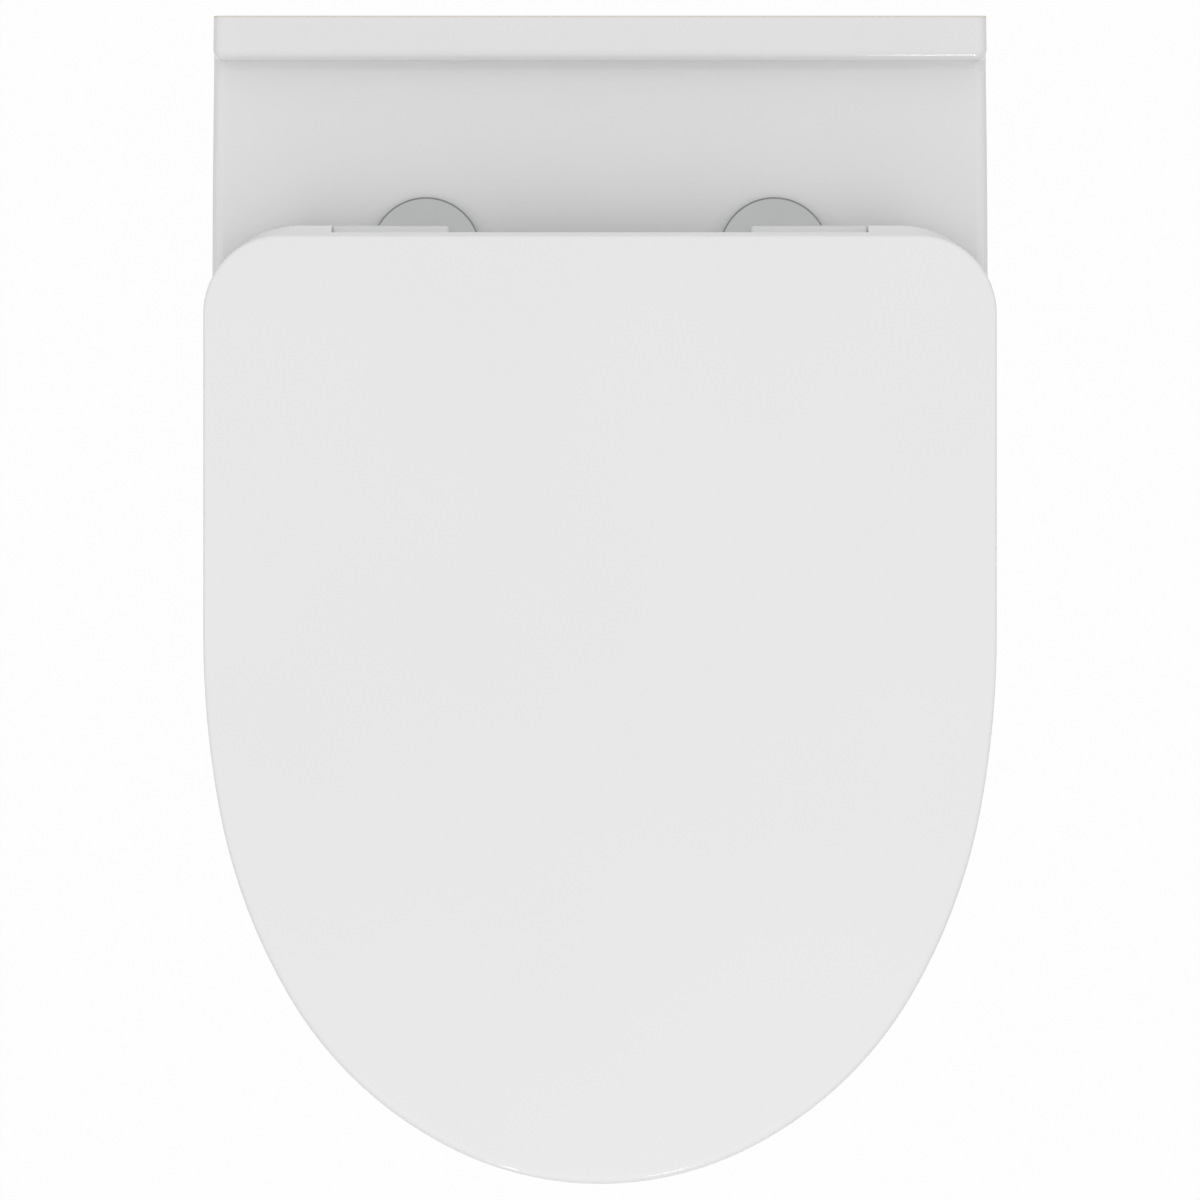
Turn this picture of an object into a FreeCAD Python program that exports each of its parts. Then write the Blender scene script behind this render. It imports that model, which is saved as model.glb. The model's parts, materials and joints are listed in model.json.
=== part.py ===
import FreeCAD, Part

import math
import os

# A wall-hung toilet: one hollow pan of vitreous china, a seat ring and a lid.
# Lengths are in millimetres. X runs to the right for someone who faces the wall,
# Y runs into the wall and Z runs up. The origin lies on the wall plane, midway
# between the two wall studs that carry the pan.

V = FreeCAD.Vector
os.makedirs("parts", exist_ok=True)

# The plan of the seat. From the straight side to the middle of the nose it is
# four arcs, each given as its radius and the angle that it turns through. The
# last one turns through what is left of the right angle.
NOSE_ARCS = ((445.5, 10.4), (267.0, 19.9), (180.9, 34.0), (151.8, None))
SEAT_FRONT = -539.1
SEAT_BACK = -97.8
SEAT_CORNER_R = 44.0

# heights, all from the line of the wall studs
RIM_Z = 80.0
UNDERSIDE_Z = -256.0
BUFFER_H = 5.5
RING_T = 17.0
LID_GAP = 2.0
LID_H = 18.0
AXIS_BELOW_LID_TOP = 18.3

# the pan
PAN_FRONT = -540.0
PAN_HALF_W = 180.0
PAN_WALL = 11.0
DECK_T = 14.0
BACK_FLARE = 1.5
PAN_EDGE_R = 5.2
LEDGE_FLAT = 15.0
LEDGE_R = 5.5
LEDGE_HOLLOW_R = 8.5
LEDGE_H = LEDGE_R + LEDGE_HOLLOW_R
BODY_TOP_Z = 60.0
BODY_FRONT_PULL = 285.0
BODY_FRONT_POWER = 2.1
BODY_BOTTOM_POWER = 0.8
BODY_SIDE_TOP_Z = 12.0
BODY_SIDE_PULL = 46.0
BODY_SIDE_POWER = 2.0
UNDERSIDE_R = 12.0
# heights of the sections between the straight top and the underside
LOWER_LEVELS = [20.0, -30.0, -85.0, -140.0, -190.0, -222.0, -243.0]
# the sections run on past the wall plane, where the pan is then cut flat
BACK_END = 5.0

# the bowl, as ovals: height, half width, back and front
BOWL_MOUTH = ((81.0, 124.0, -168.0, -486.0), (66.0, 124.5, -167.5, -486.5),
              (50.0, 125.0, -167.0, -487.0))
BOWL = ((50.0, 114.0, -177.0, -476.0), (20.0, 108.5, -181.0, -462.0),
        (-20.0, 97.5, -186.0, -436.0), (-60.0, 83.0, -190.0, -402.0),
        (-100.0, 66.0, -193.0, -361.0), (-135.0, 51.0, -193.0, -320.0),
        (-165.0, 42.0, -187.0, -283.0), (-192.0, 33.0, -180.0, -248.0))
BOWL_WALL = 10.0
BOWL_DROP = 6.0
BOWL_POWER = 2.3
MOUTH_POWER = 2.5
MOUTH_R = 7.0

# the water ways
TRAP_R = 30.0
TRAP_BEND_R = 50.0
TRAP_WALL = 10.0
# from the outlet inward: the first slope in degrees, then each straight run and the turn after it
TRAP_RISE = 3.0
TRAP_RUNS = ((8.0, -78.0), (37.0, 115.0), (55.0, 0.0))
OUTLET_Z = -100.0
SPIGOT_R = 51.0
SPIGOT_BORE_R = 42.0
SPIGOT_L = 45.0
INLET_Z = 35.0
INLET_R = 27.5
INLET_L = 45.0
INLET_WALL = 9.0
FLUSH_PIPE_R = 22.5
SEAL_L = 34.0
# the flush channel, as ovals: y, height of its middle, half width and half height
FLUSH_WAY = ((-45.0, 35.0, 22.0, 22.0), (-85.0, 43.0, 24.0, 18.0),
             (-130.0, 57.0, 36.0, 11.0), (-170.0, 62.0, 45.0, 8.0))

# the seat ring
RING_BAND = 66.0
RING_OPEN_BACK = -170.0
RING_OPEN_CORNER_R = 62.0
HORN_GAP = 2.4
RING_NOTCH_FRONT = -124.5
RING_EDGE_R = 2.5
RING_COMFORT_R = 9.0
LUG_IN_X = 46.0
LUG_R = 8.0

# the lid
LID_INSET = 0.7
LID_PLATE = 4.5
LID_SKIRT = 4.0
LID_EDGE_R = 1.6
LID_NOSE_R = 4.0
LID_SLOPE_H = 8.0
LID_SLOPE_W = 5.3
LID_TOP_CORNER_R = 34.5
LID_NOTCH_BACK = -101.0
NOTCH_GAP = 0.2
EAR_W = 13.0
EAR_R = 9.5

# the hinges
HINGE_X = 80.6
AXIS_Y = -109.0
BLOCK_R = 11.6
BLOCK_IN_X = 69.6
BLOCK_L = 53.6
STEM_R = 11.0
SIDE_PLAY = 0.4
DISC_R = 25.5
DISC_H = 4.3
BASE_R = 22.0
BASE_T = 2.5
POST_R = 8.0
POST_TOP = 11.0
HINGE_BOLT_R = 3.0
HINGE_HOLE_R = 7.5
PIN_R = 3.95
PIN_DEPTH = 13.0
DAMPER_R = 7.9
DAMPER_L = 36.0
FLAT_HALF = 2.75
KEY_L = 20.0
RUN = 0.05
SLIP = 0.1

# the wall fixing
STUD_SPACING = 180.0
STUD_HOLE_R = 6.5
STUD_R = 6.05
NUT_FLATS = 19.0
NUT_CORNER_R = NUT_FLATS / math.sqrt(3)
BRACKET_T = 24.0
BRACKET_HALF_H = 16.0
BRACKET_REACH = 50.0
SIDE_SCREW_Y = -38.0
SIDE_SCREW_R = 4.0
SIDE_HOLE_R = 7.0
BUSH_FLANGE_T = 2.0
CAP_R = 10.5
CAP_T = 1.8

WASHER_T = 2.5
SET_SCREW_R = 2.0
NUT_Z0 = 38.0
NUT_Z1 = 50.0

# the rubber buffers, as X and Y of each
NOSE_BUFFER_Y = SEAT_FRONT + 89.1
SEAT_BUFFERS = ((-150.0, -215.0), (150.0, -215.0), (-105.0, NOSE_BUFFER_Y), (105.0, NOSE_BUFFER_Y))
SEAT_BUFFER_R = 9.0
LID_BUFFER_Y = SEAT_FRONT + 209.1
LID_BUFFERS = ((-140.0, LID_BUFFER_Y), (140.0, LID_BUFFER_Y))
LID_BUFFER_R = 6.0

RING_Z0 = RIM_Z + BUFFER_H
RING_Z1 = RING_Z0 + RING_T
LID_Z0 = RING_Z1 + LID_GAP
LID_Z1 = LID_Z0 + LID_H
AXIS_Z = LID_Z1 - AXIS_BELOW_LID_TOP
BLOCK_OUT_X = BLOCK_IN_X + BLOCK_L
EAR_X = BLOCK_OUT_X + SIDE_PLAY
LID_NOTCH_HALF_W = BLOCK_OUT_X + NOTCH_GAP
RING_NOTCH_HALF_W = EAR_X + EAR_W + HORN_GAP
STUD_X = STUD_SPACING / 2
REST_GAP = 0.3


def full_arcs():
    turned = sum(a for r, a in NOSE_ARCS if a)
    return [(r, math.radians(a if a else 90.0 - turned)) for r, a in NOSE_ARCS]


def nose_points(inset):
    # ends and middles of the arcs on the right side, from the straight side to the nose
    arcs = full_arcs()
    x, y, t = 0.0, 0.0, 0.0
    pts = [(0.0, 0.0)]
    for r, a in arcs:
        for u in (t + a / 2, t + a):
            pts.append((x - (r - inset) * (math.cos(t) - math.cos(u)),
                        y - (r - inset) * (math.sin(u) - math.sin(t))))
        x, y = pts[-1]
        t += a
    return [(px - x, py - y + SEAT_FRONT + inset) for px, py in pts]


SEAT_HALF_W = nose_points(0.0)[0][0]


def seat_plan(inset, back, corner_r, z):
    """The closed D of the seat, offset inward, with its back edge and back corners."""
    right = nose_points(inset)
    w, side_y = right[0]
    corner_r = min(corner_r, 0.9 * (back - side_y))
    edges = []
    for i in range(0, len(right) - 1, 2):
        a, b, c = (V(px, py, z) for px, py in right[i:i + 3])
        edges.append(Part.Arc(a, b, c).toShape())
    for i in range(len(right) - 1, 0, -2):
        a, b, c = (V(-px, py, z) for px, py in (right[i], right[i - 1], right[i - 2]))
        edges.append(Part.Arc(a, b, c).toShape())
    k = corner_r * (1 - math.sqrt(0.5))
    left_arc = Part.Arc(V(-w, back - corner_r, z), V(-w + k, back - k, z), V(-w + corner_r, back, z))
    right_arc = Part.Arc(V(w - corner_r, back, z), V(w - k, back - k, z), V(w, back - corner_r, z))
    edges.append(Part.makeLine(V(-w, side_y, z), V(-w, back - corner_r, z)))
    edges.append(left_arc.toShape())
    edges.append(Part.makeLine(V(-w + corner_r, back, z), V(w - corner_r, back, z)))
    edges.append(right_arc.toShape())
    edges.append(Part.makeLine(V(w, back - corner_r, z), V(w, side_y, z)))
    return Part.Wire(edges)


def prism(wire, height):
    return Part.Face(wire).extrude(V(0, 0, height))


def box(x0, x1, y0, y1, z0, z1):
    return Part.makeBox(x1 - x0, y1 - y0, z1 - z0, V(x0, y0, z0))


def rod(r, x0, x1, y=AXIS_Y, z=AXIS_Z):
    """A round bar along X."""
    return Part.makeCylinder(r, x1 - x0, V(x0, y, z), V(1, 0, 0))


def post(r, x, y, z0, z1):
    """A round bar along Z."""
    return Part.makeCylinder(r, z1 - z0, V(x, y, z0), V(0, 0, 1))


def barrel(r, x, z, y0, y1):
    """A round bar along Y, from y0 back to y1."""
    return Part.makeCylinder(r, y1 - y0, V(x, y0, z), V(0, 1, 0))


def turned(profile, x, y):
    """A turned piece: radius and height pairs spun about an upright axis."""
    pts = [V(x + r, y, z) for r, z in profile]
    face = Part.Face(Part.makePolygon(pts + pts[:1]))
    return face.revolve(V(x, y, 0), V(0, 0, 1), 360)


def side_prism(points, x0, x1):
    """A flat shape drawn in Y and Z, carried along X."""
    pts = [V(x0, y, z) for y, z in points]
    return Part.Face(Part.makePolygon(pts + pts[:1])).extrude(V(x1 - x0, 0, 0))


def hexagon(across_flats, x, z, y0, y1):
    r = across_flats / math.sqrt(3)
    pts = [V(x + r * math.cos(math.radians(60 * i)), y0, z + r * math.sin(math.radians(60 * i)))
           for i in range(6)]
    return Part.Face(Part.makePolygon(pts + pts[:1])).extrude(V(0, y1 - y0, 0))


def rounded(shape, radius, wanted):
    done = shape.makeFillet(radius, [e for e in shape.Edges if wanted(e)])
    done.fix(0.01, 0.01, 0.01)
    return done


def at_height(z):
    return lambda e: abs(e.BoundBox.ZMin - z) < 1e-3 and abs(e.BoundBox.ZMax - z) < 1e-3


def save(name, shape):
    shape.exportStep("parts/%s.step" % name)


def body_size(z):
    """Half width and front of the pan's outside at a height."""
    t = max(0.0, (BODY_TOP_Z - z) / (BODY_TOP_Z - UNDERSIDE_Z))
    u = max(0.0, (BODY_SIDE_TOP_Z - z) / (BODY_SIDE_TOP_Z - UNDERSIDE_Z))
    return (PAN_HALF_W - BODY_SIDE_PULL * u ** BODY_SIDE_POWER,
            PAN_FRONT + BODY_FRONT_PULL * (1 - (1 - t ** BODY_FRONT_POWER) ** BODY_BOTTOM_POWER))


def body_section(z, half_w, front, back):
    """One level slice of the pan: a smooth U from wall to nose and back, closed along the wall."""
    right = nose_points(0.0)
    kx, ky = half_w / right[0][0], front / SEAT_FRONT
    straight = [(half_w - BACK_FLARE, back), (half_w - BACK_FLARE * 0.3, ky * -70.0), (half_w, ky * -150.0)]
    half = straight + [(px * kx, py * ky) for px, py in right[::2]]
    pts = [V(px, py, z) for px, py in half] + [V(-px, py, z) for px, py in reversed(half[:-1])]
    curve = Part.BSplineCurve()
    curve.interpolate(pts)
    return Part.Wire([curve.toShape(), Part.makeLine(pts[-1], pts[0])])


def oval(half_x, half_v, place, power, count=20):
    """A closed smooth oval; place turns its two coordinates into a point."""
    pts = []
    for i in range(count):
        a = 2 * math.pi * i / count
        c, s = math.cos(a), math.sin(a)
        pts.append(place(half_x * math.copysign(abs(c) ** (2 / power), c),
                         half_v * math.copysign(abs(s) ** (2 / power), s)))
    curve = Part.BSplineCurve()
    curve.interpolate(pts, PeriodicFlag=True)
    return Part.Wire([curve.toShape()])


def bowl_loft(levels, grow, power):
    wires = []
    for z, half_w, back, front in levels:
        mid = (back + front) / 2
        place = lambda u, v, z=z, mid=mid: V(u, mid + v, z)
        wires.append(oval(half_w + grow, (back - front) / 2 + grow, place, power))
    return Part.makeLoft(wires, True, False)


def flush_loft(grow):
    wires = []
    for y, z, half_w, half_h in FLUSH_WAY:
        place = lambda u, v, y=y, z=z: V(u, y, z + v)
        wires.append(oval(half_w + grow, half_h + grow, place, 2.2))
    return Part.makeLoft(wires, True, False)


def trap_pipe(r):
    """A bar along the trap's middle line, from the outlet over the weir and down into the sump."""
    y, z, angle = -SPIGOT_L, OUTLET_Z, TRAP_RISE
    bar = None
    for length, turn in TRAP_RUNS:
        a = math.radians(angle)
        along = V(0, -math.cos(a), math.sin(a))
        piece = Part.makeCylinder(r, length, V(0, y, z), along)
        y, z = y + length * along.y, z + length * along.z
        if turn:
            # the bend turns about a centre beside the line, above it or below it
            side = math.copysign(TRAP_BEND_R, turn)
            centre = V(0, y + side * math.sin(a), z + side * math.cos(a))
            end = Part.Face(Part.Wire([Part.makeCircle(r, V(0, y, z), along)]))
            piece = piece.fuse(end.revolve(centre, V(-1, 0, 0), turn))
            angle += turn
            b = math.radians(angle)
            y, z = centre.y - side * math.sin(b), centre.z - side * math.cos(b)
        bar = bar.fuse(piece) if bar else piece
    return bar


def make_pan():
    top = RIM_Z + LEDGE_H
    levels = [top, 75.0, BODY_TOP_Z] + LOWER_LEVELS + [UNDERSIDE_Z]
    outside = Part.makeLoft([body_section(z, *body_size(z), BACK_END) for z in levels], True, False)
    outside = outside.cut(box(-PAN_HALF_W - 9, PAN_HALF_W + 9, 0, 2 * BACK_END, UNDERSIDE_Z - 9, top + 9))

    # the wall ledge runs down to the deck in a round over and a hollow
    y0 = -LEDGE_FLAT
    y1 = y0 - LEDGE_R
    y2 = y1 - LEDGE_HOLLOW_R
    z1 = RIM_Z + LEDGE_HOLLOW_R
    half = math.sqrt(0.5)
    x0 = -PAN_HALF_W - 30
    line = [Part.Arc(V(x0, y0, top), V(x0, y0 - half * LEDGE_R, z1 + half * LEDGE_R),
                     V(x0, y1, z1)).toShape(),
            Part.Arc(V(x0, y1, z1), V(x0, y2 + half * LEDGE_HOLLOW_R, z1 - half * LEDGE_HOLLOW_R),
                     V(x0, y2, RIM_Z)).toShape(),
            Part.makePolygon([V(x0, y2, RIM_Z), V(x0, PAN_FRONT - 30, RIM_Z),
                              V(x0, PAN_FRONT - 30, top + 20), V(x0, y0, top + 20), V(x0, y0, top)])]
    edges = [e for part in line for e in part.Edges]
    above = Part.Face(Part.Wire(edges)).extrude(V(-2 * x0, 0, 0))
    outside = outside.cut(above)
    outside = rounded(outside, PAN_EDGE_R,
                      lambda e: e.BoundBox.ZMin > RIM_Z - 1 and e.BoundBox.YLength > 1
                      and e.BoundBox.YMin < -1)
    outside = rounded(outside, UNDERSIDE_R,
                      lambda e: at_height(UNDERSIDE_Z)(e) and e.BoundBox.YMin < -1)

    # the hollow inside the skin, open towards the wall
    inner = []
    for z in [RIM_Z - DECK_T] + LOWER_LEVELS[:-1] + [UNDERSIDE_Z + PAN_WALL]:
        half_w, front = body_size(z)
        t = (RIM_Z - z) / (RIM_Z - UNDERSIDE_Z)
        inner.append(body_section(z, half_w - PAN_WALL, front + PAN_WALL + 6 * t, BACK_END))
    hollow = Part.makeLoft(inner, True, False)

    lower = [(z - BOWL_DROP, w, back, front) for z, w, back, front in BOWL]
    z, w, back, front = lower[-1]
    mid = (back + front) / 2
    floor = oval(w + BOWL_WALL, (back - front) / 2 + BOWL_WALL, lambda u, v: V(u, mid + v, z), BOWL_POWER)
    china = bowl_loft(lower, BOWL_WALL, BOWL_POWER).fuse(prism(floor, BOWL_DROP - BOWL_WALL))
    china = china.fuse(bowl_loft([(z - (BOWL_WALL if z < RIM_Z - DECK_T else 0.0), w, back, front)
                                  for z, w, back, front in BOWL_MOUTH], BOWL_WALL, MOUTH_POWER))
    china = china.fuse(trap_pipe(TRAP_R + TRAP_WALL))
    china = china.fuse(barrel(SPIGOT_R, 0, OUTLET_Z, -SPIGOT_L, 0))
    china = china.fuse(barrel(INLET_R + INLET_WALL, 0, INLET_Z, -INLET_L - INLET_WALL, 0))
    china = china.fuse(flush_loft(INLET_WALL))
    pan = outside.cut(hollow.cut(china))

    pan = pan.cut(bowl_loft(BOWL_MOUTH, 0.0, MOUTH_POWER))
    pan = rounded(pan, MOUTH_R,
                  lambda e: at_height(RIM_Z)(e) and 200 < e.BoundBox.XLength < 2 * PAN_HALF_W - 50)
    pan = pan.cut(bowl_loft(BOWL, 0.0, BOWL_POWER))
    pan = pan.cut(trap_pipe(TRAP_R))
    pan = pan.cut(barrel(SPIGOT_BORE_R, 0, OUTLET_Z, -SPIGOT_L + 8, 1))
    pan = pan.cut(barrel(INLET_R, 0, INLET_Z, -INLET_L, 1))
    pan = pan.cut(flush_loft(0.0))
    for side in (-1, 1):
        pan = pan.cut(post(HINGE_HOLE_R, side * HINGE_X, AXIS_Y, RIM_Z - DECK_T - 1, RIM_Z + 1))
        x0, x1 = sorted((side * (PAN_HALF_W - PAN_WALL - 15), side * (PAN_HALF_W + 5)))
        pan = pan.cut(rod(SIDE_HOLE_R, x0, x1, SIDE_SCREW_Y, 0.0))
    return pan


def side_wall(pan):
    """How far from the middle the pan's side wall begins and ends, around the side screws."""
    around = pan.common(rod(CAP_R, PAN_HALF_W / 2, PAN_HALF_W + 9, SIDE_SCREW_Y, 0))
    limits = around.optimalBoundingBox(False, False)
    return limits.XMin, limits.XMax


def make_seat_ring():
    outline = seat_plan(0.0, SEAT_BACK, SEAT_CORNER_R, RING_Z0)
    hole = seat_plan(RING_BAND, RING_OPEN_BACK, RING_OPEN_CORNER_R, RING_Z0)
    ring = prism(outline, RING_T).cut(prism(hole, RING_T))
    ring = rounded(ring, RING_COMFORT_R,
                   lambda e: at_height(RING_Z1)(e) and inside_hole(e))
    ring = rounded(ring, RING_EDGE_R,
                   lambda e: (at_height(RING_Z0)(e) or at_height(RING_Z1)(e) and not inside_hole(e)))

    # the back bar stands clear of the hinges, which run between two horns
    notch = box(-RING_NOTCH_HALF_W, RING_NOTCH_HALF_W, RING_NOTCH_FRONT, 0, RING_Z0 - 1, RING_Z1 + 1)
    notch = rounded(notch, 5.0, lambda e: e.BoundBox.ZLength > RING_T and e.BoundBox.YMax < -1)
    ring = ring.cut(notch)

    # a lug on each side carries the ring on the inner end of its hinge block
    for side in (-1, 1):
        x0, x1 = sorted((side * LUG_IN_X, side * (BLOCK_IN_X - SIDE_PLAY)))
        arm = side_prism([(AXIS_Y, AXIS_Z - LUG_R), (RING_NOTCH_FRONT - 6, RING_Z0 + RING_EDGE_R),
                          (RING_NOTCH_FRONT - 6, RING_Z1 - 1), (RING_NOTCH_FRONT - 2, RING_Z1),
                          (AXIS_Y, AXIS_Z + LUG_R)], x0, x1)
        ring = ring.fuse(rod(LUG_R, x0, x1)).fuse(arm)
    ring = ring.cut(rod(PIN_R, LUG_IN_X - 1, BLOCK_IN_X))
    ring = ring.cut(rotor_key(-BLOCK_IN_X, -BLOCK_IN_X + KEY_L + 1, SLIP))
    return ring.removeSplitter()


def inside_hole(edge):
    b = edge.BoundBox
    w = SEAT_HALF_W - RING_BAND
    return (b.XMin > -w - 1 and b.XMax < w + 1 and b.YMax < RING_OPEN_BACK + 1
            and b.YMin > SEAT_FRONT + RING_BAND - 1)


def rotor_key(x0, x1, play=0.0):
    """A round shaft with two flats, along the hinge axis."""
    half, r = FLAT_HALF + play, PIN_R + play
    flats = box(x0, x1, AXIS_Y - r, AXIS_Y + r, AXIS_Z - half, AXIS_Z + half)
    return rod(r, x0, x1).common(flats)


def lid_edge_radius(point):
    """The lid's top edge is crisp behind and along the sides, and grows rounder towards the nose."""
    t = (SEAT_BACK - point.y) / (SEAT_BACK - SEAT_FRONT)
    t = max(0.0, (t - 0.45) / 0.55)
    return LID_EDGE_R + (LID_NOSE_R - LID_EDGE_R) * t * t * (3 - 2 * t)


def round_top(shape):
    """Rounds the lid's top edge with a radius that changes along it."""
    doc = FreeCAD.newDocument()
    base = doc.addObject("Part::Feature", "Base")
    base.Shape = shape
    fillet = doc.addObject("Part::Fillet", "Fillet")
    fillet.Base = base
    rounds = []
    for number, edge in enumerate(shape.Edges, 1):
        if at_height(LID_Z1)(edge) and edge.BoundBox.XMin < -0.01:
            ends = [edge.valueAt(edge.FirstParameter), edge.valueAt(edge.LastParameter)]
            if edge.Orientation == "Reversed":
                ends.reverse()
            rounds.append((number, lid_edge_radius(ends[0]), lid_edge_radius(ends[1])))
    fillet.Edges = rounds
    doc.recompute()
    done = fillet.Shape.copy()
    FreeCAD.closeDocument(doc.Name)
    return done


def lid_blank():
    """The lid before it is hollowed: upright sides and nose, and a back that slopes forward above."""
    slope_z = LID_Z1 - LID_SLOPE_H
    foot = seat_plan(LID_INSET, SEAT_BACK, SEAT_CORNER_R, slope_z)
    head = seat_plan(LID_INSET, SEAT_BACK - LID_SLOPE_W, LID_TOP_CORNER_R, LID_Z1)
    blank = prism(seat_plan(LID_INSET, SEAT_BACK, SEAT_CORNER_R, LID_Z0), LID_H - LID_SLOPE_H)
    blank = blank.fuse(Part.makeLoft([foot, head], True, True))
    half = round_top(blank.cut(box(0, 300, SEAT_FRONT - 9, 0, LID_Z0 - 9, LID_Z1 + 9)))
    return half.fuse(half.mirror(V(0, 0, 0), V(1, 0, 0)))


def make_lid():
    blank = lid_blank()
    inner = seat_plan(LID_INSET + LID_SKIRT, SEAT_BACK - LID_SKIRT, SEAT_CORNER_R - LID_SKIRT, LID_Z0)
    room = prism(inner, LID_H - LID_SLOPE_H)
    foot = seat_plan(LID_INSET + LID_SKIRT, SEAT_BACK - LID_SKIRT, SEAT_CORNER_R - LID_SKIRT,
                     LID_Z1 - LID_SLOPE_H)
    ceiling = seat_plan(LID_INSET + LID_SKIRT + 0.5, SEAT_BACK - LID_SKIRT - LID_SLOPE_W / 2,
                        LID_TOP_CORNER_R - LID_SKIRT, LID_Z1 - LID_PLATE)
    room = room.fuse(Part.makeLoft([foot, ceiling], True, True))
    # room for the hinge blocks and the lugs of the ring, open to the back
    for side in (-1, 1):
        x0, x1 = sorted((side * (LUG_IN_X - 2), side * LID_NOTCH_HALF_W))
        room = room.fuse(box(x0, x1, AXIS_Y - 20, 0, LID_Z0, LID_Z1 - LID_PLATE))
    lid = blank.cut(room)

    # between the corners the back edge stands forward, where the hinges are
    notch = box(-LID_NOTCH_HALF_W, LID_NOTCH_HALF_W, LID_NOTCH_BACK, 0, LID_Z0 - 1, LID_Z1 + 1)
    lid = lid.cut(notch)
    back_wall = box(-LUG_IN_X + 2, LUG_IN_X - 2, LID_NOTCH_BACK - LID_SKIRT, LID_NOTCH_BACK,
                    LID_Z0, LID_Z1 - LID_PLATE)
    lid = lid.fuse(back_wall)

    # an ear on each side hangs on the outer end of its hinge block
    for side in (-1, 1):
        x0, x1 = sorted((side * EAR_X, side * (EAR_X + EAR_W)))
        web = box(x0, x1, AXIS_Y - EAR_R, AXIS_Y + EAR_R, AXIS_Z, LID_Z1 - LID_PLATE + 1)
        lid = lid.fuse(rod(EAR_R, x0, x1)).fuse(web.common(blank))
    lid = lid.cut(rod(PIN_R, -EAR_X - EAR_W - 1, -EAR_X + 1))
    lid = lid.cut(rotor_key(EAR_X - 1, EAR_X + EAR_W - 1, SLIP))

    # short posts inside carry the lid's buffers
    for x, y in LID_BUFFERS:
        lid = lid.fuse(post(LID_BUFFER_R + 1.5, x, y, LID_Z0 + 3, LID_Z1 - LID_PLATE + 1))
        lid = lid.cut(post(LID_BUFFER_R - 1.5, x, y, LID_Z0, LID_Z0 + 6))
    return lid.removeSplitter()


def make_block(side):
    x0, x1 = sorted((side * BLOCK_IN_X, side * BLOCK_OUT_X))
    block = rod(BLOCK_R, x0, x1)
    block = rounded(block, 1.2, lambda e: e.BoundBox.XLength < 0.01)
    x = side * HINGE_X
    base_z = RIM_Z + BASE_T
    block = block.fuse(post(STEM_R, x, AXIS_Y, base_z, AXIS_Z - 2))
    block = block.cut(post(POST_R + SLIP, x, AXIS_Y, base_z, RIM_Z + POST_TOP + 0.5))
    # each block has its damper in its right end and a plain bearing in its left end
    block = block.cut(rod(DAMPER_R + SLIP, x1 - DAMPER_L, x1))
    block = block.cut(rod(PIN_R + RUN, x0, x0 + PIN_DEPTH))
    screw_z = RIM_Z + POST_TOP / 2 + BASE_T
    block = block.cut(barrel(SET_SCREW_R, x, screw_z, AXIS_Y, AXIS_Y + STEM_R + 1))
    return block.removeSplitter()


def make_damper(side):
    """The damper body: a closed can with a bearing for its shaft."""
    x1 = side * BLOCK_IN_X if side < 0 else BLOCK_OUT_X
    can = rod(DAMPER_R, x1 - DAMPER_L, x1 - 0.3)
    can = rounded(can, 0.6, lambda e: e.BoundBox.XLength < 0.01)
    return can.cut(rod(PIN_R + RUN, x1 - DAMPER_L + 4, x1))


def make_rotor(side, length):
    """The damper's shaft: round inside the can, with two flats in the piece that it turns."""
    x1 = side * BLOCK_IN_X if side < 0 else BLOCK_OUT_X
    shaft = rod(PIN_R, x1 - DAMPER_L + 4.5, x1 + 0.1)
    return shaft.fuse(rotor_key(x1, x1 + length)).removeSplitter()


def make_pin(side, length):
    x0 = -BLOCK_OUT_X if side < 0 else BLOCK_IN_X
    pin = rod(PIN_R, x0 - length, x0 + PIN_DEPTH - 0.5)
    return rounded(pin, 0.5, lambda e: e.BoundBox.XLength < 0.01)


def make_disc(x):
    disc = turned([(STEM_R + 0.3, RIM_Z + BASE_T + 0.2), (STEM_R + 0.3, RIM_Z + DISC_H),
                   (DISC_R, RIM_Z + DISC_H), (DISC_R, RIM_Z), (BASE_R + 0.2, RIM_Z),
                   (BASE_R + 0.2, RIM_Z + BASE_T + 0.2)], x, AXIS_Y)
    return rounded(disc, 0.9,
                   lambda e: at_height(RIM_Z + DISC_H)(e) and e.BoundBox.XLength > 2 * DISC_R - 1)


def make_base(x):
    head_r = HINGE_BOLT_R * 1.67 + 0.3
    base = turned([(HINGE_BOLT_R + 0.3, RIM_Z), (BASE_R, RIM_Z), (BASE_R, RIM_Z + BASE_T),
                   (POST_R, RIM_Z + BASE_T), (POST_R, RIM_Z + POST_TOP), (head_r, RIM_Z + POST_TOP),
                   (head_r, RIM_Z + BASE_T + 3), (HINGE_BOLT_R + 0.3, RIM_Z + BASE_T + 3)], x, AXIS_Y)
    return base


def make_hinge_bolt(x):
    head_z = RIM_Z + BASE_T + 3
    r = HINGE_BOLT_R
    bolt = turned([(0, NUT_Z0 - 4), (r - 0.6, NUT_Z0 - 4), (r, NUT_Z0 - 3.4), (r, head_z),
                   (r * 1.67, head_z), (r * 1.67, head_z + 4.4), (r * 1.67 - 0.5, head_z + 4.9),
                   (0, head_z + 4.9)], x, AXIS_Y)
    socket = Part.Face(Part.makePolygon([V(x + 2.9 * math.cos(math.radians(60 * i)),
                                           AXIS_Y + 2.9 * math.sin(math.radians(60 * i)), head_z + 2)
                                         for i in range(7)])).extrude(V(0, 0, 5))
    return bolt.cut(socket)


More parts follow.
